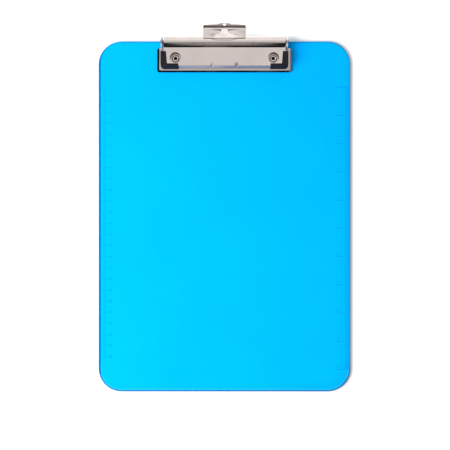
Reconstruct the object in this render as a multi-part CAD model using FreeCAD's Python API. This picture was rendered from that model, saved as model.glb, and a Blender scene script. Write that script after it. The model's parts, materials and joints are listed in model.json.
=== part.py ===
import FreeCAD, Part
import math
import os

# Clipboard: a moulded board, a spring clip riveted to it, and a hanging tongue that slides out of the clip.
# Millimetres. Z = 0 is the board's underside, +X runs across the board, +Y towards the clip, +Z up.

Vector = FreeCAD.Vector
ALONG_X = Vector(1, 0, 0)
ALONG_Z = Vector(0, 0, 1)

# Board
BOARD_W = 226.5
BOARD_L = 315.0
BOARD_T = 3.0
BOARD_CORNER_R = 20.5
BOARD_TOP_ROUND = 1.0
BOARD_BOTTOM_ROUND = 0.6
RIVET_HOLE_R = 2.1
COUNTERBORE_R = 4.2
COUNTERBORE_DEPTH = 1.0

# Thickness of the pressed steel, and where the two rivets stand
SHEET = 0.9
RIVET_X = 43.9
RIVET_Y = 141.9

# Base plate: a shallow tray lying upside down on the board, with an ear at each end for the pin
BASE_HALF_W = 60.5
BASE_REAR_HALF_W = 56.8
BASE_FRONT_Y = 129.6
BASE_STEP_Y = 151.3
BASE_REAR_Y = 157.2
BASE_TOP_Z = 5.4
BASE_CORNER_R = 2.1
BASE_EDGE_ROUND = 1.7
DIMPLE_FLOOR_R = 4.9
DIMPLE_TOP_R = 6.4
EAR_FRONT_Y = 148.6
EAR_R = 4.4
EAR_T = 1.6
EAR_EDGE_ROUND = 0.5

# Pivot of the clamp, with the pin and its holes
PIVOT_Y = 156.4
PIVOT_Z = 10.3
PIN_R = 1.5
PIN_HOLE_FIXED_R = 1.52
PIN_HOLE_RUNNING_R = 1.56
PIN_HEAD_R = 2.1
PIN_HEAD_T = 0.6

# Rivets
RIVET_BORE_R = 1.45
RIVET_BORE_FLOOR_Z = 1.6
RIVET_SHANK_R = 2.0
RIVET_HEAD_R = 3.5
RIVET_HEAD_T = 1.0
RIVET_CREST_R = 2.2
RIVET_LIP_T = 0.8
RIVET_TAIL_T = 0.7

# Clamp plate, (y, z) of the jaw's upper outline from the lip's foot back to the barrel
JAW_FOOT = (133.2, 5.9)
JAW_KNEE = (133.2, 7.6)
JAW_FRONT = (134.6, 10.9)
JAW_REAR = (151.9, 11.7)
JAW_FLANGE_REAR_Z = 6.9
JAW_HALF_W = 55.6
JAW_STEP_Y = 147.8
JAW_CORNER_R = 2.6
JAW_EDGE_ROUND = 0.7
ACCESS_HOLE_R = 5.0
DENT_X = 11.0
DENT_R = 1.6
DENT_BACKING_R = 2.4
DENT_TOP = (135.9, 12.3)
DENT_FOOT = (132.3, 9.4)
BARREL_HALF_W = 54.2
BARREL_R = 5.2
BARREL_FRONT_DEG = 175.0
BARREL_BACK_DEG = -15.0
INNER_EAR_R = 4.0

# Lever, in its own frame: s runs up the lever from the pivot, n is square to its face
LEVER_TILT_DEG = 32.0
LEVER_HALF_W = 19.0
LEVER_ROOT_R = 1.4
LEVER_ROOT_BITE = 0.03
LEVER_RELIEF = 0.3
LEVER_RELIEF_S = (2.5, 9.0)
LEVER_TOP_N = 3.1
LEVER_CURL_S = 13.9
LEVER_CURL_R = 13.0
LEVER_CURL_DEG = 18.0
LEVER_CORNER_R = 2.5
LEVER_BOW_R = 258.0
NOTCH_MOUTH = 2.6
NOTCH_FOOT = 0.5
NOTCH_S = 16.5

# Bell-shaped boss on the lever, fading out towards the tip: (x, s) of its right-hand edge
BOSS_EDGE = [(12.8, 5.3), (13.0, 7.2), (8.2, 8.0), (4.4, 9.3), (3.0, 10.9), (2.6, 13.4)]
BOSS_RISE = 0.3

# Dents at the boss's shoulders, (x, s, depth): three corners on the lever's face and the deepest point
SHOULDER_DENT = [(3.0, 11.7, 0.0), (3.0, 13.4, 0.0), (12.8, 13.2, 0.0), (4.0, 13.0, 0.24)]

# Guide for the tongue, welded under the lever: flanged rails with inturned lips, and a strap across them
GUIDE_SHEET = 0.7
RAIL_IN_X = 9.6
RAIL_S = (6.0, 15.8)
FLANGE_OUT_X = 14.2
LIP_IN_X = 8.2
LIP_N = (-0.2, 0.5)
STRAP_S = 14.2

# Hanging tongue
TONGUE_HALF_W = 9.3
TONGUE_N = (0.65, 1.45)
TONGUE_S = (4.4, 18.6)
TONGUE_END_R = 16.0
TONGUE_CORNER_R = 1.2
HANG_HOLE_R = 3.0
HANG_HOLE_S = 15.0
FLAP_HALF_W = 5.0
FLAP_T = 0.9
FLAP_FOOT_N = -0.5

# Torsion spring: two coils on the pin, a bridge pressing on the base plate and two legs lifting the lever
WIRE_R = 0.8
COIL_R = 2.7
COIL_PITCH = 2.0
COIL_TURNS = 4
COIL_INNER_X = 7.2
BRIDGE_Y = 149.4
SPRING_GAP = 0.05
LEG_END_S = 10.0
LEG_END_N = 1.3

# Corner grips
GRIP_TOP_T = 0.6
GRIP_SIDE_T = 1.6
GRIP_FRONT_T = 0.8
GRIP_FOOT_Z = 5.5
GRIP_LEG_W = 5.8
GRIP_LEG_TOP_W = 4.8
GRIP_ARM_L = 16.0
GRIP_ARM_W = 4.4
GRIP_CORNER_R = 3.2

EPS = 0.01


def box(x0, x1, y0, y1, z0, z1):
    return Part.makeBox(x1 - x0, y1 - y0, z1 - z0, Vector(x0, y0, z0))


def prism_x(outline, x0, x1):
    """Solid with a closed (y, z) outline, running along X."""
    corners = [Vector(x0, y, z) for y, z in outline]
    face = Part.Face(Part.makePolygon(corners + corners[:1]))
    return face.extrude(Vector(x1 - x0, 0, 0))


def prism_z(outline, z0, z1):
    """Solid with a closed (x, y) outline, running along Z."""
    corners = [Vector(x, y, z0) for x, y in outline]
    face = Part.Face(Part.makePolygon(corners + corners[:1]))
    return face.extrude(Vector(0, 0, z1 - z0))


def cylinder_x(radius, x0, x1, y=PIVOT_Y, z=PIVOT_Z):
    return Part.makeCylinder(radius, x1 - x0, Vector(x0, y, z), ALONG_X)


def cylinder_z(radius, x, y, z0, z1):
    return Part.makeCylinder(radius, z1 - z0, Vector(x, y, z0), ALONG_Z)


def upright_edges(shape, keep):
    """Edges parallel to Z whose middle point passes the test."""
    found = []
    for edge in shape.Edges:
        low, high = edge.Vertexes[0].Point, edge.Vertexes[-1].Point
        upright = abs(low.x - high.x) < EPS and abs(low.y - high.y) < EPS and abs(low.z - high.z) > EPS
        if upright and keep(edge.CenterOfMass):
            found.append(edge)
    return found


def edges_at_height(shape, z):
    return [e for e in shape.Edges if abs(e.BoundBox.ZMin - z) < EPS and abs(e.BoundBox.ZMax - z) < EPS]


def about_pivot(radius, degrees):
    """Point at a polar angle about the pivot, counted from +Y towards +Z."""
    angle = math.radians(degrees)
    return Vector(0, PIVOT_Y + radius * math.cos(angle), PIVOT_Z + radius * math.sin(angle))


def tangent_angle(point, radius, side):
    """Polar angle about the pivot where a line from a (y, z) point touches the circle; side is +1 or -1."""
    dy, dz = point[0] - PIVOT_Y, point[1] - PIVOT_Z
    return math.degrees(math.atan2(dz, dy)) + side * math.degrees(math.acos(radius / math.hypot(dy, dz)))


def onto_lever(shape):
    """Move a shape drawn in the lever's frame (x, s, n) to its place on the clip."""
    placed = shape.copy()
    placed.rotate(Vector(0, 0, 0), ALONG_X, LEVER_TILT_DEG)
    placed.translate(Vector(0, PIVOT_Y, PIVOT_Z))
    return placed


def mirrored(shape):
    return shape.mirror(Vector(0, 0, 0), ALONG_X)


def inward(start, end):
    """Unit step (across, up) to the right of the way from one outline corner to the next."""
    across, up = end[0] - start[0], end[1] - start[1]
    length = math.hypot(across, up)
    return up / length, -across / length


def inset_outline(outline, inset):
    """Closed outline drawn clockwise, with all its sides moved inwards by the same distance."""
    moved = []
    for index, corner in enumerate(outline):
        ahead = inward(corner, outline[(index + 1) % len(outline)])
        behind = inward(outline[index - 1], corner)
        scale = inset / (1 + ahead[0] * behind[0] + ahead[1] * behind[1])
        moved.append((corner[0] + scale * (ahead[0] + behind[0]), corner[1] + scale * (ahead[1] + behind[1])))
    return moved


def make_board():
    board = box(-BOARD_W / 2, BOARD_W / 2, -BOARD_L / 2, BOARD_L / 2, 0, BOARD_T)
    board = board.makeFillet(BOARD_CORNER_R, upright_edges(board, lambda p: True))
    board = board.makeFillet(BOARD_TOP_ROUND, edges_at_height(board, BOARD_T))
    board = board.makeFillet(BOARD_BOTTOM_ROUND, edges_at_height(board, 0))
    for x in (-RIVET_X, RIVET_X):
        board = board.cut(cylinder_z(RIVET_HOLE_R, x, RIVET_Y, -EPS, BOARD_T + EPS))
        board = board.cut(cylinder_z(COUNTERBORE_R, x, RIVET_Y, -EPS, COUNTERBORE_DEPTH))
    return board


def base_outline(inset):
    """Plan of the base plate: wide in front, stepped in between the ears at the back."""
    front, step, rear = BASE_FRONT_Y + inset, BASE_STEP_Y - inset, BASE_REAR_Y - inset
    wide, narrow = BASE_HALF_W - inset, BASE_REAR_HALF_W - inset
    right = [(wide, front), (wide, step), (narrow, step), (narrow, rear)]
    return right + [(-x, y) for x, y in reversed(right)]


def base_ear():
    """Ear standing on the base plate's right end, rounded about the pivot."""
    foot_z = BASE_TOP_Z - SHEET
    front, rear = (EAR_FRONT_Y, foot_z), (BASE_REAR_Y, foot_z)
    front_deg = tangent_angle(front, EAR_R, -1)
    rear_deg = tangent_angle(rear, EAR_R, 1)
    top_deg = (front_deg % 360 + rear_deg) / 2
    touch_front, touch_rear = about_pivot(EAR_R, front_deg), about_pivot(EAR_R, rear_deg)
    foot_front, foot_rear = Vector(0, *front), Vector(0, *rear)
    outline = Part.Wire([
        Part.makeLine(foot_front, touch_front),
        Part.Arc(touch_front, about_pivot(EAR_R, top_deg), touch_rear).toShape(),
        Part.makeLine(touch_rear, foot_rear),
        Part.makeLine(foot_rear, foot_front),
    ])
    ear = Part.Face(outline).extrude(Vector(EAR_T, 0, 0))
    ear.translate(Vector(BASE_REAR_HALF_W - EAR_T, 0, 0))
    rims = [e for e in ear.Edges if e.BoundBox.XLength < EPS and e.BoundBox.ZMax > foot_z + EPS]
    return ear.makeFillet(EAR_EDGE_ROUND, rims)


def make_base_plate():
    base = prism_z(base_outline(0), BOARD_T, BASE_TOP_Z)
    corners = upright_edges(base, lambda p: abs(p.x) > BASE_HALF_W - EPS)
    base = base.makeFillet(BASE_CORNER_R, corners)
    base = base.makeFillet(BASE_EDGE_ROUND, edges_at_height(base, BASE_TOP_Z))
    base = base.cut(prism_z(base_outline(SHEET), BOARD_T - 1, BASE_TOP_Z - SHEET))
    floor_z = BOARD_T + SHEET
    slope = (DIMPLE_TOP_R - DIMPLE_FLOOR_R) / (BASE_TOP_Z - floor_z)
    wall = SHEET * slope
    for x in (-RIVET_X, RIVET_X):
        foot, floor = Vector(x, RIVET_Y, BOARD_T), Vector(x, RIVET_Y, floor_z)
        cup = Part.makeCone(DIMPLE_FLOOR_R, DIMPLE_TOP_R, BASE_TOP_Z - floor_z, foot, ALONG_Z)
        cup = cup.fuse(cylinder_z(DIMPLE_FLOOR_R + wall, x, RIVET_Y, BOARD_T, BASE_TOP_Z - EPS))
        bowl = Part.makeCone(DIMPLE_FLOOR_R, DIMPLE_TOP_R, BASE_TOP_Z - floor_z, floor, ALONG_Z)
        base = base.fuse(cup).cut(bowl)
        base = base.cut(cylinder_z(RIVET_HOLE_R, x, RIVET_Y, BOARD_T - 1, BASE_TOP_Z))
    ear = base_ear()
    base = base.fuse(ear).fuse(mirrored(ear))
    base = base.cut(cylinder_x(PIN_HOLE_FIXED_R, -BASE_HALF_W, BASE_HALF_W))
    return base.removeSplitter()


def make_rivet(x):
    """Rivet with a deep blind bore: domed head in the dimple, spread tail in the board's counterbore."""
    head_z = BOARD_T + SHEET
    tail_z = COUNTERBORE_DEPTH
    foot_z = tail_z - RIVET_TAIL_T
    bore_top = Vector(RIVET_BORE_R, 0, head_z + RIVET_LIP_T)
    dome = Vector(RIVET_CREST_R, 0, head_z + RIVET_HEAD_T)
    corners = [
        (RIVET_HEAD_R, head_z),
        (RIVET_SHANK_R, head_z),
        (RIVET_SHANK_R, tail_z),
        (RIVET_HEAD_R, tail_z),
        (RIVET_HEAD_R - RIVET_TAIL_T / 2, foot_z),
        (0, foot_z),
        (0, RIVET_BORE_FLOOR_Z),
        (RIVET_BORE_R, RIVET_BORE_FLOOR_Z),
    ]
    points = [Vector(r, 0, z) for r, z in corners]
    edges = [Part.Arc(bore_top, dome, points[0]).toShape()]
    edges += [Part.makeLine(a, b) for a, b in zip(points, points[1:])]
    edges.append(Part.makeLine(points[-1], bore_top))
    rivet = Part.Face(Part.Wire(edges)).revolve(Vector(0, 0, 0), ALONG_Z, 360)
    rivet.translate(Vector(x, RIVET_Y, 0))
    return rivet


def make_hinge_pin():
    reach = BASE_REAR_HALF_W + PIN_HEAD_T
    pin = cylinder_x(PIN_R, -reach, reach)
    for x0, x1 in ((BASE_REAR_HALF_W + EPS, reach), (-reach, -BASE_REAR_HALF_W - EPS)):
        pin = pin.fuse(cylinder_x(PIN_HEAD_R, x0, x1))
    rims = [e for e in pin.Edges if abs(abs(e.CenterOfMass.x) - reach) < EPS]
    return pin.makeFillet(PIN_HEAD_T / 2, rims)


def jaw_top_z(y):
    slope = (JAW_REAR[1] - JAW_FRONT[1]) / (JAW_REAR[0] - JAW_FRONT[0])
    return JAW_FRONT[1] + slope * (y - JAW_FRONT[0])


def jaw_block(half_w, rear_y):
    """Outside of the jaw, filled in solid."""
    outline = [JAW_FOOT, JAW_KNEE, JAW_FRONT, (rear_y, jaw_top_z(rear_y)), (rear_y, JAW_FLANGE_REAR_Z)]
    return prism_x(outline, -half_w, half_w)


def jaw_hollow(half_w, rear_y):
    """Space inside the jaw's sheet, open below."""
    below = JAW_FOOT[1] - 2 * SHEET
    behind = rear_y + SHEET
    outline = [(JAW_FOOT[0], below), JAW_KNEE, JAW_FRONT, (behind, jaw_top_z(behind)), (behind, below)]
    return prism_x(inset_outline(outline, SHEET), SHEET - half_w, half_w - SHEET)


def make_jaw_envelope():
    """Outside of the jaw's wide front part, with its front corners and top edges rounded."""
    jaw = jaw_block(JAW_HALF_W, JAW_STEP_Y)
    sides = [e for e in jaw.Edges if abs(e.BoundBox.XLength) < EPS and e.BoundBox.YMax < JAW_FRONT[0] + EPS]
    jaw = jaw.makeFillet(JAW_CORNER_R, sides)
    tops = [
        e for e in jaw.Edges
        if e.BoundBox.ZMin > JAW_FRONT[1] - EPS and e.BoundBox.YMin < JAW_STEP_Y - EPS
    ]
    return jaw.makeFillet(JAW_EDGE_ROUND, tops)


def barrel_sector():
    """Part of a tube about the pivot, from the jaw's plate over the top and down the back."""
    middle = (BARREL_FRONT_DEG + BARREL_BACK_DEG) / 2
    turns = (BARREL_FRONT_DEG, middle, BARREL_BACK_DEG)
    outer = [about_pivot(BARREL_R, degrees) for degrees in turns]
    inner = [about_pivot(BARREL_R - SHEET, degrees) for degrees in turns]
    outline = Part.Wire([
        Part.Arc(*outer).toShape(),
        Part.makeLine(outer[2], inner[2]),
        Part.Arc(*reversed(inner)).toShape(),
        Part.makeLine(inner[0], outer[0]),
    ])
    sector = Part.Face(outline).extrude(Vector(2 * BARREL_HALF_W, 0, 0))
    sector.translate(Vector(-BARREL_HALF_W, 0, 0))
    return sector


def barrel_end():
    """Inner ear closing the barrel's right end, joined to the jaw's side flange."""
    x0, x1 = BARREL_HALF_W - SHEET, BARREL_HALF_W
    upper = cylinder_x(BARREL_R, x0, x1).cut(box(x0 - 1, x1 + 1, 0, 2 * PIVOT_Y, 0, PIVOT_Z))
    lower = cylinder_x(INNER_EAR_R, x0, x1)
    link_outline = [
        (JAW_STEP_Y, JAW_FLANGE_REAR_Z),
        (JAW_STEP_Y, JAW_REAR[1] - SHEET),
        (PIVOT_Y - BARREL_R, PIVOT_Z),
        (PIVOT_Y, PIVOT_Z),
        (PIVOT_Y, PIVOT_Z - INNER_EAR_R + EPS),
    ]
    return upper.fuse(lower).fuse(prism_x(link_outline, x0, x1))


def make_jaw():
    """Jaw and barrel of the clamp plate, hollow from below, without the lever."""
    wide_rear = JAW_STEP_Y - SHEET
    rear_outline = [
        (wide_rear, jaw_top_z(wide_rear)),
        JAW_REAR,
        (JAW_REAR[0], JAW_REAR[1] - SHEET),
        (wide_rear, jaw_top_z(wide_rear) - SHEET),
    ]
    jaw = make_jaw_envelope()
    jaw = jaw.cut(jaw_hollow(JAW_HALF_W, wide_rear))
    jaw = jaw.cut(jaw_hollow(BARREL_HALF_W, JAW_STEP_Y + SHEET))
    jaw = jaw.fuse(prism_x(rear_outline, -BARREL_HALF_W, BARREL_HALF_W))
    jaw = jaw.fuse(barrel_sector())
    end = barrel_end()
    return jaw.fuse(end).fuse(mirrored(end))


def jaw_dent(x):
    """Stiffening dent across the front bend: the backing to add inside and the groove to cut outside."""
    foot = Vector(x, *DENT_FOOT)
    run = Vector(x, *DENT_TOP) - foot
    backing = Part.makeCylinder(DENT_BACKING_R, run.Length, foot, run)
    groove = Part.makeCylinder(DENT_R, run.Length, foot, run)
    return backing.common(make_jaw_envelope()), groove


def lever_root():
    """Fillet where the lever leaves the barrel, as three points (0, s, n) from the barrel to the lever."""
    centre_n = LEVER_TOP_N + LEVER_ROOT_R
    reach = BARREL_R + LEVER_ROOT_R - LEVER_ROOT_BITE
    centre = Vector(0, math.sqrt(reach ** 2 - centre_n ** 2), centre_n)
    to_barrel = centre * (-LEVER_ROOT_R / reach)
    to_lever = Vector(0, 0, -LEVER_ROOT_R)
    between = to_barrel + to_lever
    between = between * (LEVER_ROOT_R / between.Length)
    return centre + to_barrel, centre + between, centre + to_lever


def lever_blade():
    """The lever's sheet in the lever's frame: straight, then curling over towards its tip."""
    low_n = LEVER_TOP_N - SHEET
    centre_n = LEVER_TOP_N - LEVER_CURL_R

    def on_curl(radius, degrees):
        angle = math.radians(degrees)
        return Vector(0, LEVER_CURL_S + radius * math.sin(angle), centre_n + radius * math.cos(angle))

    steps = (0, LEVER_CURL_DEG / 2, LEVER_CURL_DEG)
    upper = [on_curl(LEVER_CURL_R, degrees) for degrees in steps]
    lower = [on_curl(LEVER_CURL_R - SHEET, degrees) for degrees in steps]
    root = lever_root()
    root_low = Vector(0, math.sqrt((BARREL_R - SHEET / 2) ** 2 - low_n ** 2), low_n)
    outline = Part.Wire([
        Part.makeLine(root_low, root[0]),
        Part.Arc(*root).toShape(),
        Part.makeLine(root[2], upper[0]),
        Part.Arc(*upper).toShape(),
        Part.makeLine(upper[2], lower[2]),
        Part.Arc(*reversed(lower)).toShape(),
        Part.makeLine(lower[0], root_low),
    ])
    blade = Part.Face(outline).extrude(Vector(2 * LEVER_HALF_W, 0, 0))
    blade.translate(Vector(-LEVER_HALF_W, 0, 0))
    return blade


def lever_outline(tip_s):
    """Plan of the lever, with rounded tip corners, a slightly bowed tip and a notch in its middle."""
    depth = LEVER_HALF_W
    plan = box(-LEVER_HALF_W, LEVER_HALF_W, 0, tip_s, -depth, depth)
    plan = plan.makeFillet(LEVER_CORNER_R, upright_edges(plan, lambda p: p.y > tip_s - EPS))
    plan = plan.common(cylinder_z(LEVER_BOW_R, 0, tip_s - LEVER_BOW_R, -depth, depth))
    mouth_s = tip_s + SHEET
    notch = [(-NOTCH_MOUTH, mouth_s), (NOTCH_MOUTH, mouth_s), (NOTCH_FOOT, NOTCH_S), (-NOTCH_FOOT, NOTCH_S)]
    return plan.cut(prism_z(notch, -depth, depth))


def lever_boss():
    """Bell-shaped boss standing on the lever's face, highest at its foot."""
    low_n = LEVER_TOP_N - SHEET / 2
    foot_s, end_s = BOSS_EDGE[0][1], BOSS_EDGE[-1][1]
    plan = prism_z(BOSS_EDGE + [(-x, s) for x, s in reversed(BOSS_EDGE)], low_n, LEVER_TOP_N + BOSS_RISE)
    wedge = [(foot_s, low_n), (end_s, low_n), (end_s, LEVER_TOP_N), (foot_s, LEVER_TOP_N + BOSS_RISE)]
    return plan.common(prism_x(wedge, -LEVER_HALF_W, LEVER_HALF_W))


def shoulder_dent():
    """Right-hand dent as a cutter: a shallow three-sided pyramid pointing into the lever."""
    points = [Vector(x, s, LEVER_TOP_N - depth) for x, s, depth in SHOULDER_DENT]
    sides = []
    for skipped in points:
        corners = [point for point in points if point is not skipped]
        sides.append(Part.Face(Part.makePolygon(corners + corners[:1])))
    return Part.Solid(Part.Shell(sides))


def make_hanger_guide():
    """Bracket under the lever that carries the tongue: flanged rails, inturned lips and an end strap."""
    s0, s1 = RAIL_S
    top_n = LEVER_TOP_N - SHEET / 2
    low_n, lip_n = LIP_N
    lever_n = LEVER_TOP_N - SHEET
    rail = box(RAIL_IN_X, RAIL_IN_X + GUIDE_SHEET, s0, s1, low_n, top_n)
    lip = box(LIP_IN_X, RAIL_IN_X + GUIDE_SHEET, s0, s1, low_n, lip_n)
    flange = box(RAIL_IN_X, FLANGE_OUT_X, s0, STRAP_S, lever_n - GUIDE_SHEET, lever_n)
    strap = box(-LIP_IN_X - EPS, LIP_IN_X + EPS, STRAP_S, s1, low_n, lip_n)
    above = box(-LEVER_HALF_W, LEVER_HALF_W, 0, LEVER_CURL_S, lever_n, LEVER_TOP_N)
    side = rail.fuse(lip).fuse(flange)
    guide = side.fuse(mirrored(side)).fuse(strap)
    return onto_lever(guide.cut(above).cut(lever_blade()).removeSplitter())


def make_clamp_plate():
    tip_s = LEVER_CURL_S + LEVER_CURL_R * math.sin(math.radians(LEVER_CURL_DEG))
    clamp = make_jaw()
    relief_w = LEVER_HALF_W + LEVER_RELIEF
    relief = box(-relief_w, relief_w, *LEVER_RELIEF_S, -LEVER_HALF_W, LEVER_TOP_N - SHEET)
    clamp = clamp.cut(onto_lever(relief))
    dent = shoulder_dent()
    lever = lever_blade().common(lever_outline(tip_s)).fuse(lever_boss()).cut(dent).cut(mirrored(dent))
    clamp = clamp.fuse(onto_lever(lever))
    for x in (-DENT_X, DENT_X):
        backing, groove = jaw_dent(x)
        clamp = clamp.fuse(backing).cut(groove)
    for x in (-RIVET_X, RIVET_X):
        clamp = clamp.cut(cylinder_z(ACCESS_HOLE_R, x, RIVET_Y, JAW_KNEE[1], PIVOT_Z + BARREL_R))
    clamp = clamp.cut(cylinder_x(PIN_HOLE_RUNNING_R, -BASE_HALF_W, BASE_HALF_W))
    return clamp.removeSplitter()


def make_hanger():
    """Hanging tongue: flat strip with an arched end and a nail hole, its tail bent down as a stop."""
    s0, s1 = TONGUE_S
    n0, n1 = TONGUE_N
    strip = box(-TONGUE_HALF_W, TONGUE_HALF_W, s0, s1, n0, n1)
    strip = strip.common(cylinder_z(TONGUE_END_R, 0, s1 - TONGUE_END_R, n0, n1).fuse(
        box(-TONGUE_HALF_W, TONGUE_HALF_W, s0, s1 - TONGUE_END_R / 2, n0, n1)))
    corners = upright_edges(strip, lambda p: p.y > s1 - TONGUE_END_R / 2 and abs(p.x) > TONGUE_HALF_W - EPS)
    strip = strip.makeFillet(TONGUE_CORNER_R, corners)
    flap = box(-FLAP_HALF_W, FLAP_HALF_W, s0, s0 + FLAP_T, FLAP_FOOT_N, n1)
    hole = cylinder_z(HANG_HOLE_R, 0, HANG_HOLE_S, n0 - 1, n1 + 1)
    return onto_lever(strip.fuse(flap).cut(hole).removeSplitter())


def rod(start, end, radius):
    """Straight run of wire with a rounded end at each end."""
    run = end - start
    body = Part.makeCylinder(radius, run.Length, start, run)
    return body.fuse(Part.makeSphere(radius, start)).fuse(Part.makeSphere(radius, end))


def spring_half():
    """Right half of the torsion spring: half of the bridge, a leg to it, the coil and the lever's leg."""
    bridge_z = BASE_TOP_Z + WIRE_R + SPRING_GAP
    tilt = math.radians(LEVER_TILT_DEG)
    leg_y = PIVOT_Y + LEG_END_S * math.cos(tilt) - LEG_END_N * math.sin(tilt)
    leg_z = PIVOT_Z + LEG_END_S * math.sin(tilt) + LEG_END_N * math.cos(tilt)
    start_deg = tangent_angle((BRIDGE_Y, bridge_z), COIL_R, 1) % 360
    end_deg = tangent_angle((leg_y, leg_z), COIL_R, -1) % 360
    turns = COIL_TURNS + (end_deg - start_deg) / 360
    outer_x = COIL_INNER_X + turns * COIL_PITCH
    helix = Part.makeHelix(COIL_PITCH, turns * COIL_PITCH, COIL_R)
    section = Part.Wire(Part.makeCircle(WIRE_R, Vector(COIL_R, 0, 0), Vector(0, 1, 0)))
    coil = Part.Wire(helix).makePipeShell([section], True, True)
    coil.rotate(Vector(0, 0, 0), Vector(0, 1, 0), 90)
    coil.rotate(Vector(0, 0, 0), ALONG_X, start_deg - 270)
    coil.translate(Vector(COIL_INNER_X, PIVOT_Y, PIVOT_Z))
    start = about_pivot(COIL_R, start_deg) + Vector(COIL_INNER_X, 0, 0)
    end = about_pivot(COIL_R, end_deg) + Vector(outer_x, 0, 0)
    corner = Vector(COIL_INNER_X, BRIDGE_Y, bridge_z)
    half = rod(Vector(-EPS, BRIDGE_Y, bridge_z), corner, WIRE_R)
    half = half.fuse(rod(corner, start, WIRE_R)).fuse(coil)
    return half.fuse(rod(end, Vector(outer_x, leg_y, leg_z), WIRE_R))


def make_torsion_spring():
    half = spring_half()
    return half.fuse(mirrored(half)).removeSplitter()


def make_grip_right():
    """Moulded corner cap, L-shaped from above, over the jaw's right front corner."""
    front, rear = JAW_FOOT[0] - GRIP_FRONT_T, JAW_STEP_Y
    top_front = JAW_FRONT[1] + GRIP_TOP_T
    side_outline = [
        (front, GRIP_FOOT_Z),
        (front, JAW_KNEE[1]),
        (JAW_FRONT[0] - GRIP_FRONT_T, top_front),
        (rear, jaw_top_z(rear) + GRIP_TOP_T),
        (rear, GRIP_FOOT_Z),
    ]
    outer_x = JAW_HALF_W + GRIP_SIDE_T
    block = prism_x(side_outline, outer_x - GRIP_ARM_L, outer_x)
    fronts = [
        e for e in block.Edges
        if e.BoundBox.XMin > outer_x - EPS and e.BoundBox.YMax < JAW_FRONT[0] and e.BoundBox.ZLength > EPS
    ]
    block = block.makeFillet(GRIP_CORNER_R, fronts)
    tops = [
        e for e in block.Edges
        if e.BoundBox.ZMin > top_front - EPS and e.BoundBox.YMin < rear - EPS
    ]
    block = block.makeFillet(GRIP_TOP_T * 0.8, tops)
    window = [
        (outer_x - GRIP_ARM_L - 1, front + GRIP_ARM_W),
        (outer_x - GRIP_LEG_W, front + GRIP_ARM_W),
        (outer_x - GRIP_LEG_TOP_W, rear + 1),
        (outer_x - GRIP_ARM_L - 1, rear + 1),
    ]
    block = block.cut(prism_z(window, 0, PIVOT_Z + BARREL_R))
    return block.cut(make_jaw_envelope())


def main():
    grip_right = make_grip_right()
    parts = {
        "board": make_board(),
        "base_plate": make_base_plate(),
        "rivet_left": make_rivet(-RIVET_X),
        "rivet_right": make_rivet(RIVET_X),
        "clamp_plate": make_clamp_plate(),
        "hanger_guide": make_hanger_guide(),
        "hinge_pin": make_hinge_pin(),
        "torsion_spring": make_torsion_spring(),
        "grip_left": mirrored(grip_right),
        "grip_right": grip_right,
        "hanger": make_hanger(),
    }
    os.makedirs("parts", exist_ok=True)
    for node, shape in parts.items():
        shape.exportStep("parts/" + node + ".step")
        print(node, "solids", len(shape.Solids), "valid", shape.isValid(), "mm3", round(shape.Volume, 2))


main()
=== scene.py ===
import json
import math

import bpy
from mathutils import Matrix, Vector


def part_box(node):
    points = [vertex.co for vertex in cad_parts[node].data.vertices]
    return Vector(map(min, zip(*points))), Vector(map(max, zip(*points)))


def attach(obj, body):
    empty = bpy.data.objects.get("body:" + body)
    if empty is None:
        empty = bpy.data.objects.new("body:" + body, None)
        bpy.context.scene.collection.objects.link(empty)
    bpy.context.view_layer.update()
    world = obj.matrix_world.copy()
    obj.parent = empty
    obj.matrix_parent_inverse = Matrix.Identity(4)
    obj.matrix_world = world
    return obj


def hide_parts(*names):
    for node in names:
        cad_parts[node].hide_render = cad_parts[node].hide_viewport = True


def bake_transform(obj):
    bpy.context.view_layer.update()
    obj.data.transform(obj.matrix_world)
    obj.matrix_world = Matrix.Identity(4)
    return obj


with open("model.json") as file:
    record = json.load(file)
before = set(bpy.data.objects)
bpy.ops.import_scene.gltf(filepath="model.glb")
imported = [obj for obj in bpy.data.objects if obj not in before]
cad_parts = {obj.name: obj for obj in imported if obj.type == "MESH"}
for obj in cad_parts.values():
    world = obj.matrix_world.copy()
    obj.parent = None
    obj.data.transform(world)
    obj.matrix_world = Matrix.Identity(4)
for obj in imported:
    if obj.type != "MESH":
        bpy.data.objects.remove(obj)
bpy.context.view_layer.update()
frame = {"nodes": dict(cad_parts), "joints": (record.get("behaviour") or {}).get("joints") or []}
NODES = frame["nodes"]
MM = 0.001

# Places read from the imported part
HALF_W, HALF_L, BOARD_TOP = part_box("board")[1]
BASE_LOW, BASE_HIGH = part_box("base_plate")
RIVET_LOW, RIVET_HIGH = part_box("rivet_right")
HINGE = next(j for j in frame["joints"] if j["name"] == "clamp_hinge")
PIVOT_Y, PIVOT_Z = HINGE["pos_m"][1], HINGE["pos_m"][2]

# Sizes and places of the part that its boxes don't give
CORNER_R = 20.5 * MM
BASE_CORNER_R = 2.1 * MM
EAR_Z = (6.0 * MM, 7.0 * MM)
RIVET_BORE_R = 1.45 * MM
DENT_PLACE = (10.8 * MM, 136.2 * MM)
NAIL_Y = 168.6 * MM

# Camera: straight above, a little below the middle of the board
CAMERA_HEIGHT = 1.2
VIEW_WIDTH = 0.405
SENSOR_MM = 36.0
CAMERA_X = 0.0005
CAMERA_Y = -0.0077

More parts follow.
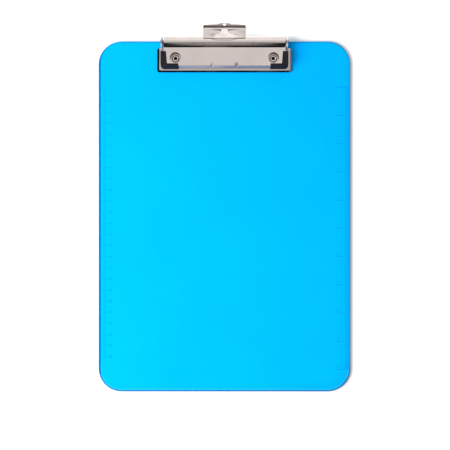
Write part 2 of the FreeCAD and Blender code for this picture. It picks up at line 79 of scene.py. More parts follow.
# Inch scale, its ticks counted down from a line near the clip
INCH = 25.4 * MM
INCHES = 10
INCH_ZERO_Y = 116.3 * MM
SCALE_END_Y = INCH_ZERO_Y - INCHES * INCH
INCH_TICK_X = (100.6 * MM, 107.8 * MM)
INCH_TICK_WIDTH = 0.45 * MM
ZERO_LINE_MARGIN = 1.6 * MM
HALF_INCH_TICK = 3.6 * MM
EIGHTH_TICK = 2.2 * MM
EIGHTH_TICK_WIDTH = 0.16 * MM
INCH_NUMERAL_OFFSET = (1.6 * MM, 2.1 * MM)
INCH_NUMERAL_HEIGHT = 2.0 * MM

# Centimetre scale, counted the same way
CM = 10.0 * MM
CMS = 25
CM_ZERO_Y = 123.8 * MM
CM_TICK_X = (-108.9 * MM, -104.7 * MM)
CM_TICK_WIDTH = 0.3 * MM
HALF_CM_TICK = 2.9 * MM
MM_TICK = 1.9 * MM
MM_TICK_WIDTH = 0.12 * MM
CM_NUMERAL_OFFSET = 2.2 * MM
CM_NUMERAL_HEIGHT = 2.3 * MM

# Print: how far it stands out of the board, and the font size that makes figures 1 high
MARK_PROUD = 0.02 * MM
FONT_SIZE = 1.35

# Board: depths in from its rim, how they change at its sides and front, and the band beside the inch scale
# The rim's line is painted shade, wider and darker on the left and darker near the front; RIM_GLINT is a
# painted highlight inside the front rim
RIM_LINE = (0.9 * MM, 1.8 * MM)
RIM_GLINT = (1.5 * MM, 2.3 * MM)
RIM_TINT = (1.0 * MM, 10.0 * MM)
RIM_SIDE = 3.0 * MM
RIM_WIDER_LEFT = 1.35 * MM
RIM_NARROWER_RIGHT = 0.55 * MM
TINT_ON_LEFT = 0.2
NEAR_FRONT_Y = (-0.9 * HALF_L, -0.8 * HALF_L)
NEAR_LEFT_X = (-HALF_W, -0.9 * HALF_W)
BAND_X = 108.6 * MM

# Clamp plate: stretches of its painted shade and its wear, along Y
LIP_Y = (134.2 * MM, 134.8 * MM)
CREASE_Y = (151.0 * MM, 153.0 * MM)
SEAM_Y = (151.1 * MM, 152.2 * MM)
CREASE_ENDS_Y = (152.6 * MM, 154.2 * MM)
LEVER_ROOT_Y = (158.0 * MM, 158.9 * MM)
LEVER_FOOT_Y = (158.9 * MM, 162.3 * MM)

# Clamp plate: the same across X, and the radii of the wear round a dent
CREASE_OUTER_X = (20.0 * MM, 48.0 * MM)
CREASE_ENDS_X = (43.0 * MM, 51.0 * MM)
LIGHTER_SEAM_X = (-20.0 * MM, 4.0 * MM)
LEVER_ROOT_X = (-18.0 * MM, 18.0 * MM)
ROOT_BULGE_X = (-10.0 * MM, 9.0 * MM)
ROOT_BULGE = 1.3 * MM
LEVER_FOOT_X = (9.0 * MM, 13.0 * MM)
FOOT_FADE_X = (-10.0 * MM, 10.0 * MM)
FOOT_STRENGTH = (0.4, 0.2)
SCUFF_CHANGE_X = (-4.0 * MM, 2.0 * MM)
DENT_WEAR_R = (1.6 * MM, 2.3 * MM)

# Base plate: the painted shade along its rolled edge, how that changes to the left, higher up and to the
# right, and the pin's shade
ROLLED_EDGE = (1.2 * MM, 1.8 * MM)
ROLLED_WIDER_LEFT = 0.6 * MM
BASE_LEFT_X = (-59.0 * MM, -57.0 * MM)
BASE_RIGHT_X = (57.0 * MM, 59.0 * MM)
HIGHER_UP_Y = (138.0 * MM, 142.0 * MM)
WIDER_HIGHER_UP = 1.6
SHADE_ON_RIGHT = 0.25
FLANGE_RIGHT_X = (55.0 * MM, 57.0 * MM)
PIN_SHADE_Y = (154.0 * MM, 157.0 * MM)

# Rivets: the painted glint's place, from the middle of the rivet, and the blur at the bore's rim
RIVET_GLINT_PLACE = (1.9 * MM, 0.3 * MM)
RIVET_GLINT_R = (0.7 * MM, 1.1 * MM)
BORE_BLUR = 0.15 * MM

# Hanger: the ring round the nail hole where the painted shade starts
HANGER_SHADE_R = (3.6 * MM, 5.6 * MM)

# Shares of the metal's shine that are lost, and roughness that is added
SCUFF_DULLS = 0.65
SCUFF_ROUGHENS = 0.3
EAR_DULLS = 0.6
EAR_ROUGHENS = 0.3
GLINT_DULLS = 0.8
BORE_ROUGHENS = 0.4
HANGER_SHADE_ROUGHENS = 0.15

# Colours of the board and its print, each ink deep and faint
BOARD_DEEP = (0.0, 0.375, 0.94)
BOARD_BRIGHT = (0.0, 0.39, 0.97)
# BOARD_GLINT is a painted highlight; BOARD_EDGE and BOARD_DARK_EDGE colour the rim's painted shade, the
# darker one near the left and front
BOARD_GLINT = (0.03, 0.46, 1.0)
BOARD_EDGE = (0.0, 0.29, 0.68)
BOARD_DARK_EDGE = (0.0, 0.08, 0.30)
INCH_INK = ((0.0, 0.19, 0.68), (0.0, 0.27, 0.82))
CM_INK = ((0.0, 0.19, 0.66), (0.0, 0.26, 0.80))

# Colours of the metals
NICKEL = (0.84, 0.745, 0.71)
RIVET_NICKEL = (0.8, 0.72, 0.69)
# RIVET_GLINT is a painted glint on the rivet's collar
RIVET_GLINT = (0.95, 0.93, 0.93)
# HANGER_NICKEL is painted darker than NICKEL, as shade
HANGER_NICKEL = (0.74, 0.66, 0.63)
GUIDE_ZINC = (0.62, 0.6, 0.58)
PIN_STEEL = (0.34, 0.35, 0.37)
SPRING_WIRE = (0.42, 0.41, 0.42)
FLANGE = (0.62, 0.545, 0.52)
# FLANGE_RIGHT is painted shade on the flange's right side
FLANGE_RIGHT = (0.50, 0.45, 0.44)
# EAR_LEFT is a painted dim bluish reflection, EAR_RIGHT a painted highlight
EAR_LEFT = (0.46, 0.53, 0.59)
EAR_RIGHT = (0.93, 0.92, 0.95)
# Scuffs are real wear; their lavender-grey is a painted reflection of the board, lighter on the left than on
# the right
SCUFF_LEFT = (0.47, 0.38, 0.35)
SCUFF_RIGHT = (0.33, 0.27, 0.29)

# Colours of painted shade
CREASE_SHADE_MIDDLE = (0.05, 0.032, 0.026)
CREASE_SHADE_OUTER = (0.04, 0.03, 0.025)
CREASE_DEEP_SHADE = (0.02, 0.01, 0.008)
ROOT_SHADE = (0.2, 0.16, 0.15)
FOOT_SHADE = (0.25, 0.2, 0.19)
EDGE_SHADE = (0.02, 0.025, 0.03)
PIN_SHADE = (0.09, 0.12, 0.15)
BORE_SHADE = (0.035, 0.022, 0.018)
HANGER_SHADE = (0.09, 0.07, 0.065)

# Colours of the rubber, clean and dusty, and of the floor
RUBBER = (0.011, 0.010, 0.016)
RUBBER_DUSTY = (0.02, 0.019, 0.026)
FLOOR_TONES = ((0.64, 0.64, 0.64), (0.66, 0.66, 0.66))

# The three ways the polishing lines of the steel run, as noise scales along X, Y and Z
ALONG_X = (30.0, 2600.0, 2600.0)
ALONG_Y = (2600.0, 60.0, 60.0)
EVEN = (900.0, 900.0, 900.0)

# Studio: brightness of the sky by degrees from overhead, counted towards the front, and of its two sides
SKY = [(-90, 0.95), (-50, 1.05), (-28, 1.0), (-13, 0.78), (0, 0.74), (9, 0.64), (19, 0.5), (27, 0.42),
       (35, 0.18), (44, 0.07), (90, 0.05)]
LEFT_LEVEL = 0.1
LEFT_FADE = (-0.7, -0.2)
RIGHT_LEVEL = 0.3
RIGHT_FADE = (0.25, 0.7)
HORIZON_LEVEL = 1.0
HORIZON_Z = (0.03, 0.06)

# Two cards low in front: lowest and highest degree, and brightness. Across, the direction's x limits them
CARDS = [(49.8, 52.9, 1.32), (54.6, 57.6, 0.92)]
CARD_BLUR_DEGREES = 0.3
CARD_X = (-0.045, 0.028)
CARD_X_BLUR = 0.012

# Floor: its height and half its side, its glow far from the board and at its rim, and how far out that fades
FLOOR_Z = -0.2 * MM
FLOOR_HALF = 20.0
FLOOR_GLOW = (0.75, 0.12)
FLOOR_GLOW_REACH = 8.0 * MM

# Key light, large and soft, on the left and a little in front
KEY_PLACE = (-0.95, -0.27, 0.78)
KEY_SIZE = 1.15
KEY_ENERGY = 34.5

# Torsion spring, the same wire as the CAD one. The bridge is a place (y, z). The leg's end is counted from
# the pivot: how far up the lever, and how far above it
WIRE_R = 0.8 * MM
COIL_R = 2.7 * MM
COIL_PITCH = 2.0 * MM
COIL_TURNS = 4
STEPS_PER_TURN = 28
COIL_INNER_X = 7.2 * MM
BRIDGE = (149.4 * MM, 6.25 * MM)
BEND_R = 1.3 * MM
BEND_STEPS = 4
LEG_END = (10.0 * MM, 1.3 * MM)
LEVER_TILT = math.radians(32.0)


# ---------------------------------------------------------------- node helpers

class Graph:
    """A node tree, called g below, with short calls for the nodes used here."""

    def __init__(self, owner):
        owner.use_nodes = True
        self.tree = owner.node_tree
        self.tree.nodes.clear()

    def add(self, kind, **settings):
        node = self.tree.nodes.new(kind)
        for key, value in settings.items():
            setattr(node, key, value)
        return node

    def link(self, source, target):
        self.tree.links.new(source, target)

    def feed(self, socket, value):
        if isinstance(value, bpy.types.NodeSocket):
            self.link(value, socket)
        else:
            socket.default_value = value

    def math(self, operation, a, b=0.0):
        node = self.add("ShaderNodeMath", operation=operation)
        self.feed(node.inputs[0], a)
        self.feed(node.inputs[1], b)
        return node.outputs[0]

    def plus(self, a, b):
        return self.math("ADD", a, b)

    def minus(self, a, b):
        return self.math("SUBTRACT", a, b)

    def times(self, first, *others):
        """Product of two or more values."""
        product = first
        for other in others:
            product = self.math("MULTIPLY", product, other)
        return product

    def most(self, a, b):
        return self.math("MAXIMUM", a, b)

    def absolute(self, value):
        return self.math("ABSOLUTE", value)

    def opposite(self, value):
        """1 where a value is 0, and 0 where it is 1."""
        return self.minus(1.0, value)

    def squared(self, value):
        return self.math("POWER", value, 2.0)

    def stretch(self, vector, scale):
        node = self.add("ShaderNodeMapping")
        self.link(vector, node.inputs["Vector"])
        node.inputs["Scale"].default_value = scale
        return node.outputs["Vector"]

    def noise(self, vector, scale, detail=3.0):
        node = self.add("ShaderNodeTexNoise")
        self.link(vector, node.inputs["Vector"])
        node.inputs["Scale"].default_value = scale
        node.inputs["Detail"].default_value = detail
        return node.outputs["Fac"]

    def remap(self, value, from_range, to_range, smooth=False):
        node = self.add("ShaderNodeMapRange", interpolation_type="SMOOTHSTEP" if smooth else "LINEAR")
        self.link(value, node.inputs["Value"])
        node.inputs["From Min"].default_value, node.inputs["From Max"].default_value = from_range
        node.inputs["To Min"].default_value, node.inputs["To Max"].default_value = to_range
        return node.outputs["Result"]

    def rise(self, value, low, high, level=1.0, smooth=False):
        """0 below one limit, and the given level above the other."""
        return self.remap(value, (low, high), (0.0, level), smooth)

    def fall(self, value, low, high, level=1.0, smooth=False):
        """The given level below one limit, and 0 above the other."""
        return self.remap(value, (low, high), (level, 0.0), smooth)

    def window(self, value, low, high, blur, level=1.0):
        """The given level between two limits, and 0 outside them."""
        rise = self.rise(value, low - blur, low + blur, smooth=True)
        fall = self.fall(value, high - blur, high + blur, level, smooth=True)
        return self.times(rise, fall)

    def distance(self, x, y, centre):
        """How far a place is from a centre, seen from above."""
        off_x = self.squared(self.minus(x, centre[0]))
        off_y = self.squared(self.minus(y, centre[1]))
        return self.math("SQRT", self.plus(off_x, off_y))

    def mix(self, fraction, a, b):
        node = self.add("ShaderNodeMix", data_type="RGBA")
        self.feed(node.inputs["Factor"], fraction)
        self.feed(node.inputs[6], (*a, 1.0) if isinstance(a, tuple) else a)
        self.feed(node.inputs[7], (*b, 1.0) if isinstance(b, tuple) else b)
        return node.outputs[2]


class Finish(Graph):
    """A material with one principled shader."""

    def __init__(self, name):
        self.material = bpy.data.materials.new(name)
        super().__init__(self.material)
        self.shader = self.add("ShaderNodeBsdfPrincipled")
        output = self.add("ShaderNodeOutputMaterial")
        self.link(self.shader.outputs["BSDF"], output.inputs["Surface"])

    def place(self):
        return self.add("ShaderNodeTexCoord").outputs["Object"]

    def split(self, vector):
        node = self.add("ShaderNodeSeparateXYZ")
        self.link(vector, node.inputs["Vector"])
        return node.outputs["X"], node.outputs["Y"], node.outputs["Z"]

    def inside(self, across, along, half_across, half_along, corner_r):
        """How far a point lies inside the rim of a rounded rectangle; across and along are never negative."""
        reach_across = self.minus(across, half_across - corner_r)
        reach_along = self.minus(along, half_along - corner_r)
        square_across = self.squared(self.most(reach_across, 0.0))
        square_along = self.squared(self.most(reach_along, 0.0))
        corner = self.math("SQRT", self.plus(square_across, square_along))
        straight = self.math("MINIMUM", self.most(reach_across, reach_along), 0.0)
        return self.minus(corner_r, self.plus(corner, straight))

    def bump(self, height, strength, distance):
        node = self.add("ShaderNodeBump")
        node.inputs["Strength"].default_value = strength
        node.inputs["Distance"].default_value = distance
        self.link(height, node.inputs["Height"])
        self.link(node.outputs["Normal"], self.shader.inputs["Normal"])

    def set(self, **values):
        """Feeds the shader's inputs, named with _ for each space."""
        for name, value in values.items():
            self.feed(self.shader.inputs[name.replace("_", " ")], value)


def paint(obj, material):
    obj.data.materials.clear()
    obj.data.materials.append(material)


# ---------------------------------------------------------------- materials

def board_depths(g, x, y):
    """Depth of a place inside the board's rim, and the one that the rim's uneven line goes by."""
    depth = g.inside(g.absolute(x), g.absolute(y), HALF_W, HALF_L, CORNER_R)
    wider = g.fall(x, -HALF_W, RIM_SIDE - HALF_W, level=RIM_WIDER_LEFT)
    narrower = g.rise(x, HALF_W - RIM_SIDE, HALF_W, level=RIM_NARROWER_RIGHT)
    return depth, g.plus(g.minus(depth, wider), narrower)


def board_material():
    """Neon-blue moulded plastic, cloudy and finely grained, deeper blue by the inch scale, with painted shade
    along the rim, wider and darker on the left and front, and a painted highlight inside the front rim.
    """
    g = Finish("neon_board_plastic")
    place = g.place()
    x, y, _ = g.split(place)
    depth, line_depth = board_depths(g, x, y)
    near_front = g.fall(y, *NEAR_FRONT_Y, level=0.7)
    # Painted shade along the rim, and a painted highlight just inside it near the front
    line = g.fall(line_depth, *RIM_LINE)
    glint = g.times(g.window(line_depth, *RIM_GLINT, blur=0.3 * MM), near_front)
    band = g.window(x, BAND_X, HALF_W, blur=0.3 * MM, level=0.38)
    band = g.times(band, g.window(y, SCALE_END_Y, INCH_ZERO_Y, blur=1.0 * MM))
    tint = g.times(g.fall(depth, *RIM_TINT, level=0.2), g.remap(x, (0.0, HALF_W), (TINT_ON_LEFT, 1.0)))
    rim = g.most(line, g.plus(tint, band))
    cloud = g.rise(g.noise(place, scale=14.0), 0.35, 0.65)
    body = g.mix(glint, g.mix(cloud, BOARD_DEEP, BOARD_BRIGHT), BOARD_GLINT)
    # The rim's painted shade is darker near the left and the front
    dark = g.most(g.fall(x, *NEAR_LEFT_X), near_front)
    edge = g.mix(dark, BOARD_EDGE, BOARD_DARK_EDGE)
    g.set(Base_Color=g.mix(rim, body, edge))
    g.set(Roughness=g.remap(g.noise(place, scale=700.0), (0.3, 0.7), (0.34, 0.42)))
    g.set(Specular_IOR_Level=0.02, IOR=1.5)
    g.bump(g.noise(place, scale=1500.0), strength=0.12, distance=0.02 * MM)
    return g.material


def plated(name, color, roughness, grain):
    """
    Bright plated steel with fine polishing lines, faint smears and a slightly deeper tone in patches.
    Gives its graph, and the place, tone and roughness in it, to build on.
    """
    g = Finish(name)
    place = g.place()
    lines = g.noise(g.stretch(place, grain), scale=1.0, detail=4.0)
    smear = g.noise(place, scale=60.0, detail=5.0)
    deeper = tuple(0.93 * channel for channel in color)
    tone = g.mix(g.rise(smear, 0.35, 0.7), color, deeper)
    worn = g.plus(g.remap(lines, (0.3, 0.7), (-0.02, 0.03)), g.remap(smear, (0.3, 0.7), (-0.01, 0.03)))
    rough = g.plus(worn, roughness)
    g.set(Base_Color=tone, Metallic=1.0, Roughness=rough)
    g.bump(lines, strength=0.03, distance=0.02 * MM)
    return g, place, tone, rough


def plain_plated(name, color, roughness, grain):
    return plated(name, color, roughness, grain)[0].material


def crease_painted_shade(g, x, y):
    """Painted shade all along the crease in front of the barrel, and deeper painted shade in its seam and at
    its two ends.
    """
    painted_shade = g.window(y, *CREASE_Y, blur=0.35 * MM, level=0.95)
    lighter_middle = g.window(x, *LIGHTER_SEAM_X, blur=6.0 * MM, level=0.7)
    seam = g.times(g.window(y, *SEAM_Y, blur=0.25 * MM, level=0.95), g.opposite(lighter_middle))
    far_out = g.rise(g.absolute(x), *CREASE_ENDS_X, level=0.8)
    ends = g.times(g.window(y, *CREASE_ENDS_Y, blur=0.35 * MM), far_out)
    return painted_shade, g.most(seam, ends)


def lever_painted_shade(g, x, y):
    """Painted shade where the lever leaves the barrel, and at both sides of the lever's foot."""
    bulge = g.window(x, *ROOT_BULGE_X, blur=4.0 * MM, level=ROOT_BULGE)
    root = g.window(g.plus(y, bulge), *LEVER_ROOT_Y, blur=0.25 * MM, level=0.65)
    root = g.times(root, g.window(x, *LEVER_ROOT_X, blur=1.0 * MM))
    sides = g.window(g.absolute(x), *LEVER_FOOT_X, blur=1.5 * MM)
    strength = g.remap(x, FOOT_FADE_X, FOOT_STRENGTH)
    foot = g.times(g.window(y, *LEVER_FOOT_Y, blur=0.5 * MM), sides, strength)
    return root, foot


def clamp_material():
    """Plated steel, scuffed dull on the lip and its dents in a colour that paints the board's reflection,
    lighter on the left; painted shade in the crease in front of the barrel, at the lever's root and beside
    the lever's foot.
    """
    g, place, tone, rough = plated("clamp_nickel", NICKEL, 0.07, ALONG_X)
    x, y, _ = g.split(place)
    painted_shade, black = crease_painted_shade(g, x, y)
    root, foot = lever_painted_shade(g, x, y)
    outer = g.rise(g.absolute(x), *CREASE_OUTER_X, smooth=True)
    # Painted shade at the lever's root and beside the lever's foot
    tone = g.mix(root, tone, ROOT_SHADE)
    tone = g.mix(foot, tone, FOOT_SHADE)
    # Painted shade in the crease, and deeper painted shade (black) in its seam and at its ends
    tone = g.mix(painted_shade, tone, g.mix(outer, CREASE_SHADE_MIDDLE, CREASE_SHADE_OUTER))
    tone = g.mix(black, tone, CREASE_DEEP_SHADE)
    lip = g.fall(y, *LIP_Y, smooth=True)
    dent = g.fall(g.distance(g.absolute(x), y, DENT_PLACE), *DENT_WEAR_R)
    scuffed = g.most(lip, dent)
    # The scuffs are real wear, dull and rough; their colour is a painted reflection of the board, lighter
    # left of the middle
    scuff = g.mix(g.rise(x, *SCUFF_CHANGE_X), SCUFF_LEFT, SCUFF_RIGHT)
    # The crease's painted shade is also made less metallic
    matte_shade = g.times(painted_shade, g.opposite(g.most(outer, black)))
    g.set(Base_Color=g.mix(scuffed, tone, scuff))
    g.set(Metallic=g.opposite(g.most(matte_shade, g.times(scuffed, SCUFF_DULLS))))
    g.set(Roughness=g.plus(rough, g.times(scuffed, SCUFF_ROUGHENS)))
    return g.material


def rolled_edge_shade(g, place, x, y):
    """Patchy painted shade round the base plate's rolled edge, wider on the left and least on the right."""
    from_back = g.minus(BASE_HIGH[1], y)
    plate_length = BASE_HIGH[1] - BASE_LOW[1]
    depth = g.inside(g.absolute(x), from_back, BASE_HIGH[0], plate_length, BASE_CORNER_R)
    wider = g.fall(x, *BASE_LEFT_X, level=ROLLED_WIDER_LEFT)
    wider = g.times(wider, g.remap(y, HIGHER_UP_Y, (1.0, WIDER_HIGHER_UP)))
    rolled = g.fall(g.minus(depth, wider), *ROLLED_EDGE, smooth=True)
    kept = g.remap(x, BASE_RIGHT_X, (1.0, SHADE_ON_RIGHT))
    patchy = g.remap(g.noise(place, scale=45.0), (0.35, 0.55), (0.75, 1.0))
    return g.times(rolled, kept, patchy)


def base_material():
    """Plated steel: a dull flange, darker on the right as painted shade, with patchy painted shade on its
    rolled edge, and satin ears painted dim bluish on the left and near-white on the right, with painted shade
    round the pin.
    """
    g, place, _, rough = plated("base_nickel", NICKEL, 0.12, ALONG_X)
    x, y, z = g.split(place)
    painted_shade = rolled_edge_shade(g, place, x, y)
    ears = g.rise(z, *EAR_Z)
    by_pin = g.window(y, *PIN_SHADE_Y, blur=0.5 * MM, level=0.75)
    # Left ear painted dim bluish as a reflection, the right one near-white as a highlight; painted shade
    # round the pin
    ear = g.mix(by_pin, g.mix(g.rise(x, -MM, MM), EAR_LEFT, EAR_RIGHT), PIN_SHADE)
    # The flange's right side is painted darker, as shade
    flange = g.mix(g.rise(x, *FLANGE_RIGHT_X), FLANGE, FLANGE_RIGHT)
    tone = g.mix(ears, flange, ear)
    # Painted shade along the rolled edge
    g.set(Base_Color=g.mix(painted_shade, tone, EDGE_SHADE))
    g.set(Metallic=g.opposite(g.times(ears, EAR_DULLS)))
    g.set(Roughness=g.plus(rough, g.times(g.most(painted_shade, ears), EAR_ROUGHENS)))
    return g.material


def rivet_material():
    """Plated steel, with painted shade and more roughness down the bore, and a painted glint, less metallic,
    on the collar's right.
    """
    g, place, tone, rough = plated("rivet_nickel", RIVET_NICKEL, 0.17, EVEN)
    x, y, _ = g.split(place)
    middle_x = (RIVET_LOW[0] + RIVET_HIGH[0]) / 2
    middle_y = (RIVET_LOW[1] + RIVET_HIGH[1]) / 2
    away = g.distance(g.absolute(x), y, (middle_x, middle_y))
    # Painted shade down the bore
    bore = g.fall(away, RIVET_BORE_R, RIVET_BORE_R + BORE_BLUR)
    from_middle = g.minus(x, g.remap(x, (-MM, MM), (-middle_x, middle_x)))
    glint_x, glint_y = RIVET_GLINT_PLACE
    # A painted glint on the collar's right, not wear
    worn = g.fall(g.distance(from_middle, y, (glint_x, middle_y + glint_y)), *RIVET_GLINT_R)
    tone = g.mix(worn, tone, RIVET_GLINT)
    g.set(Base_Color=g.mix(bore, tone, BORE_SHADE))
    g.set(Metallic=g.opposite(g.times(worn, GLINT_DULLS)))
    g.set(Roughness=g.plus(rough, g.times(bore, BORE_ROUGHENS)))
    return g.material


def hanger_material():
    """Plated steel, with painted shade, also made rougher, everywhere but a ring round the nail hole; its
    nickel is painted darker than the clamp's, as shade.
    """
    g, place, tone, rough = plated("hanger_nickel", HANGER_NICKEL, 0.14, ALONG_Y)
    x, y, _ = g.split(place)
    away = g.distance(x, y, (0.0, NAIL_Y))
    # Painted shade on the tongue outside a ring round the nail hole
    shaded = g.rise(away, *HANGER_SHADE_R, level=0.6, smooth=True)
    g.set(Base_Color=g.mix(shaded, tone, HANGER_SHADE))
    g.set(Roughness=g.plus(rough, g.times(shaded, HANGER_SHADE_ROUGHENS)))
    return g.material


def rubber_material():
    """Matt black moulded rubber with a fine grain and a little dust in it."""
    g = Finish("black_grip_rubber")
    place = g.place()
    grain = g.noise(place, scale=2600.0)
    dusty = g.rise(g.noise(place, scale=240.0, detail=6.0), 0.45, 0.8)
    g.set(Base_Color=g.mix(dusty, RUBBER, RUBBER_DUSTY))
    g.set(Roughness=g.remap(grain, (0.3, 0.7), (0.46, 0.62)), Specular_IOR_Level=0.12)
    g.bump(grain, strength=0.25, distance=0.05 * MM)
    return g.material


def ink_material(name, deep, faint):
    """Ink of the scale marks, thin enough in places to let the board show."""
    g = Finish(name)
    worn = g.rise(g.noise(g.place(), scale=1800.0, detail=4.0), 0.4, 0.75)
    g.set(Base_Color=g.mix(worn, deep, faint), Roughness=0.45, Specular_IOR_Level=0.05)
    return g.material


def floor_material():
    """Matt white sheet that glows, less where the board lies on it."""
    g = Finish("pale_floor")
    place = g.place()
    x, y, _ = g.split(place)
    g.set(Base_Color=g.mix(g.noise(place, scale=30.0), *FLOOR_TONES))
    g.set(Roughness=0.9, Specular_IOR_Level=0.0)
    depth = g.inside(g.absolute(x), g.absolute(y), HALF_W, HALF_L, CORNER_R)
    glow = g.remap(depth, (-FLOOR_GLOW_REACH, 0.0), FLOOR_GLOW)
    g.set(Emission_Color=(1.0, 1.0, 1.0, 1.0), Emission_Strength=glow)
    return g.material


# ---------------------------------------------------------------- meshes

def new_object(name, vertices, faces):
    mesh = bpy.data.meshes.new(name)
    mesh.from_pydata(vertices, [], faces)
    mesh.update()
    obj = bpy.data.objects.new(name, mesh)
    bpy.context.collection.objects.link(obj)
    return obj


def mesh_of(curve, place=(0.0, 0.0, 0.0)):
    """Mesh of a curve or a text, put at a place."""
    shown = bpy.data.objects.new(curve.name, curve)
    bpy.context.collection.objects.link(shown)
    shown.location = place
    bpy.context.view_layer.update()
    mesh = bpy.data.meshes.new_from_object(shown.evaluated_get(bpy.context.evaluated_depsgraph_get()))
    mesh.transform(shown.matrix_world)
    bpy.data.objects.remove(shown)
    return mesh


def tick_mesh(x0, x1, y, width):
    """Corners and faces of a flat printed line, its middle at y."""
    y0, y1 = y - width / 2, y + width / 2
    levels = (BOARD_TOP - MARK_PROUD, BOARD_TOP + MARK_PROUD)
    corners = [(x, y, z) for z in levels for x, y in ((x0, y0), (x1, y0), (x1, y1), (x0, y1))]
    faces = [(4, 5, 6, 7), (3, 2, 1, 0), (0, 1, 5, 4), (1, 2, 6, 5), (2, 3, 7, 6), (3, 0, 4, 7)]
    return corners, faces


def numeral_mesh(text, x, y, height):
    """Corners and faces of a printed number, its middle at (x, y)."""
    curve = bpy.data.curves.new("numeral_" + text, "FONT")
    curve.body = text
    curve.size = height * FONT_SIZE
    curve.align_x = "CENTER"
    curve.align_y = "CENTER"
    curve.extrude = MARK_PROUD
    curve.resolution_u = 4
    mesh = mesh_of(curve, (x, y, BOARD_TOP))
    vertices = [tuple(v.co) for v in mesh.vertices]
    faces = [tuple(p.vertices) for p in mesh.polygons]
    bpy.data.meshes.remove(mesh)
    return vertices, faces


def scale_marks(name, ink, ticks, numerals):
    """One object holding a scale's ticks (x0, x1, y, width) and its numbers (text, x, y, height)."""
    marks = [tick_mesh(*tick) for tick in ticks] + [numeral_mesh(*numeral) for numeral in numerals]
    vertices, faces = [], []
    for corners, sides in marks:
        first = len(vertices)
        vertices += corners
        faces += [tuple(first + i for i in side) for side in sides]
    obj = new_object(name, vertices, faces)
    paint(obj, ink)
    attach(obj, "board_body")


def inch_scale():
    ticks, numerals = [], []
    inner, outer = INCH_TICK_X
    across, up = INCH_NUMERAL_OFFSET
    ticks.append((inner, HALF_W - ZERO_LINE_MARGIN, INCH_ZERO_Y, INCH_TICK_WIDTH))
    for eighth in range(1, INCHES * 8 + 1):
        y = INCH_ZERO_Y - eighth * INCH / 8
        if eighth % 8 == 0:
            ticks.append((inner, outer, y, INCH_TICK_WIDTH))
            numerals.append((str(eighth // 8), inner + across, y + up, INCH_NUMERAL_HEIGHT))
        else:
            reach = HALF_INCH_TICK if eighth % 4 == 0 else EIGHTH_TICK
            ticks.append((outer - reach, outer, y, EIGHTH_TICK_WIDTH))
    scale_marks("scale_inches", ink_material("inch_ink", *INCH_INK), ticks, numerals)


def centimetre_scale():
    ticks, numerals = [], []
    outer, inner = CM_TICK_X
    for millimetre in range(10, CMS * 10 + 1):
        y = CM_ZERO_Y - millimetre * CM / 10
        if millimetre % 10 == 0:
            ticks.append((outer, inner, y, CM_TICK_WIDTH))
            numerals.append((str(millimetre // 10), inner + CM_NUMERAL_OFFSET, y, CM_NUMERAL_HEIGHT))
        else:
            reach = HALF_CM_TICK if millimetre % 5 == 0 else MM_TICK
            ticks.append((outer, outer + reach, y, MM_TICK_WIDTH))
    scale_marks("scale_centimetres", ink_material("centimetre_ink", *CM_INK), ticks, numerals)


# ---------------------------------------------------------------- torsion spring

def tangent_angle(y, z, side):
    """Angle about the pivot where a line from (y, z) touches the coil's circle."""
    dy, dz = y - PIVOT_Y, z - PIVOT_Z
    return math.atan2(dz, dy) + side * math.acos(COIL_R / math.hypot(dy, dz))


def between(start, end, fraction):
    """Place (y, z) that far along the line from one to another."""
    return tuple(a + fraction * (b - a) for a, b in zip(start, end))


def on_coil(angle):
    """Place (y, z) on the coil's circle."""
    return PIVOT_Y + COIL_R * math.cos(angle), PIVOT_Z + COIL_R * math.sin(angle)


def lever_place(along, above):
    """Place (y, z) that far up the tilted lever from the pivot, and that far above it."""
    y = PIVOT_Y + along * math.cos(LEVER_TILT) - above * math.sin(LEVER_TILT)
    z = PIVOT_Z + along * math.sin(LEVER_TILT) + above * math.cos(LEVER_TILT)
    return y, z


def spring_path():
    """Centre line of the wire, from the middle of the bridge out to the end of the right leg."""
    full = 2 * math.pi
    leg_end = lever_place(*LEG_END)
    start = tangent_angle(*BRIDGE, 1) % full
    end = tangent_angle(*leg_end, -1) % full
    turns = COIL_TURNS + (end - start) / full
    bend_x = COIL_INNER_X - BEND_R
    points = [(x, *BRIDGE) for x in (0.0, COIL_INNER_X / 2, bend_x)]
    coil_start = on_coil(start)
    run = math.dist(BRIDGE, coil_start)
    for step in range(1, BEND_STEPS):
        angle = step / BEND_STEPS * math.pi / 2
        fraction = BEND_R * (1 - math.cos(angle)) / run
        points.append((bend_x + BEND_R * math.sin(angle), *between(BRIDGE, coil_start, fraction)))
    for fraction in (0.3, 0.6, 0.85):
        points.append((COIL_INNER_X, *between(BRIDGE, coil_start, fraction)))
    steps = int(turns * STEPS_PER_TURN)
    for step in range(steps + 1):
        turned = step / steps * turns
        points.append((COIL_INNER_X + turned * COIL_PITCH, *on_coil(start + turned * full)))
    coil_end_x, *coil_end = points[-1]
    for fraction in (0.25, 0.5, 0.75, 1.0):
        points.append((coil_end_x, *between(coil_end, leg_end, fraction)))
    return points


def wire_mesh(points):
    """Mesh of a round wire, from its centre line."""
    curve = bpy.data.curves.new("spring_wire", "CURVE")
    curve.dimensions = "3D"
    curve.bevel_depth = WIRE_R
    curve.bevel_resolution = 4
    curve.use_fill_caps = True
    spline = curve.splines.new("POLY")
    spline.points.add(len(points) - 1)
    for target, point in zip(spline.points, points):
        target.co = (*point, 1.0)
    mesh = mesh_of(curve)
    for polygon in mesh.polygons:
        polygon.use_smooth = True
    return mesh


def make_spring(finish):
    """The wound wire, whole from the left leg to the right one, in place of the CAD spring."""
    right = spring_path()
    left = [(-x, y, z) for x, y, z in reversed(right[1:])]
    spring = bpy.data.objects.new("spring_wound_wire", wire_mesh(left + right))
    bpy.context.collection.objects.link(spring)
    paint(spring, finish)
    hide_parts("torsion_spring")
    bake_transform(spring)


# ---------------------------------------------------------------- surroundings

def make_floor():
    ends = (-FLOOR_HALF, FLOOR_HALF)
    floor = new_object("floor", [(x, y, FLOOR_Z) for y in ends for x in ends], [(0, 1, 3, 2)])
    paint(floor, floor_material())


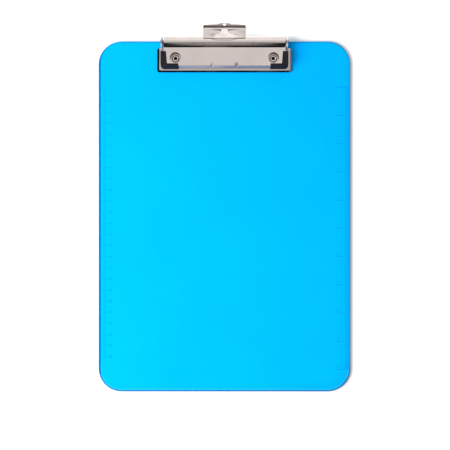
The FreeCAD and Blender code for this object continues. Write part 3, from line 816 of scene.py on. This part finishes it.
def make_world():
    """Soft studio: bright behind, overhead and at the horizon, dark low in front, two cards in front."""
    world = bpy.data.worlds.new("studio")
    bpy.context.scene.world = world
    g = Graph(world)
    apart = g.add("ShaderNodeSeparateXYZ")
    g.link(g.add("ShaderNodeTexCoord").outputs["Generated"], apart.inputs["Vector"])
    x, y, z = apart.outputs
    tilt = g.times(g.math("ARCTAN2", g.times(y, -1.0), z), math.degrees(1.0))
    ramp = g.add("ShaderNodeValToRGB")
    g.link(g.rise(tilt, -90.0, 90.0), ramp.inputs["Fac"])
    elements = ramp.color_ramp.elements
    while len(elements) < len(SKY):
        elements.new(0.5)
    for element, (degrees, level) in zip(elements, SKY):
        element.position = (degrees + 90) / 180
        element.color = (level, level, level, 1.0)
    left = g.remap(x, LEFT_FADE, (LEFT_LEVEL, 1.0), smooth=True)
    right = g.remap(x, RIGHT_FADE, (1.0, RIGHT_LEVEL), smooth=True)
    level = g.times(ramp.outputs["Color"], left, right)
    width = g.window(x, *CARD_X, CARD_X_BLUR)
    for low, high, brightness in CARDS:
        card = g.window(tilt, low, high, CARD_BLUR_DEGREES, brightness)
        level = g.plus(level, g.times(card, width))
    horizon = g.fall(z, *HORIZON_Z)
    level = g.plus(g.times(level, g.opposite(horizon)), g.times(horizon, HORIZON_LEVEL))
    back = g.add("ShaderNodeBackground")
    g.link(level, back.inputs["Color"])
    g.link(back.outputs["Background"], g.add("ShaderNodeOutputWorld").inputs["Surface"])


def make_key():
    """Large soft disk that faces the middle of the board, and isn't seen in reflections."""
    light = bpy.data.lights.new("key", "AREA")
    light.shape = "DISK"
    light.size = KEY_SIZE
    light.energy = KEY_ENERGY
    key = bpy.data.objects.new("key", light)
    bpy.context.collection.objects.link(key)
    key.location = KEY_PLACE
    key.visible_glossy = False
    target = bpy.data.objects.new("key_target", None)
    bpy.context.collection.objects.link(target)
    aim = key.constraints.new("TRACK_TO")
    aim.target = target
    aim.track_axis = "TRACK_NEGATIVE_Z"
    aim.up_axis = "UP_Y"


def make_camera():
    data = bpy.data.cameras.new("camera")
    data.sensor_width = SENSOR_MM
    data.lens = SENSOR_MM * CAMERA_HEIGHT / VIEW_WIDTH
    camera = bpy.data.objects.new("camera", data)
    bpy.context.collection.objects.link(camera)
    camera.location = (CAMERA_X, CAMERA_Y, BOARD_TOP + CAMERA_HEIGHT)
    bpy.context.scene.camera = camera


FINISHES = {
    "board": board_material(),
    "base_plate": base_material(),
    "clamp_plate": clamp_material(),
    "hanger": hanger_material(),
    "hanger_guide": plain_plated("guide_zinc", GUIDE_ZINC, 0.34, ALONG_X),
    "hinge_pin": plain_plated("drawn_pin", PIN_STEEL, 0.3, ALONG_X),
    "rivet_left": rivet_material(),
    "grip_left": rubber_material(),
}
FINISHES["rivet_right"] = FINISHES["rivet_left"]
FINISHES["grip_right"] = FINISHES["grip_left"]
for node_name, finish in FINISHES.items():
    paint(NODES[node_name], finish)

inch_scale()
centimetre_scale()
make_spring(plain_plated("oiled_spring_wire", SPRING_WIRE, 0.28, EVEN))
make_floor()
make_world()
make_key()
make_camera()
bpy.context.scene.view_settings.view_transform = "Standard"
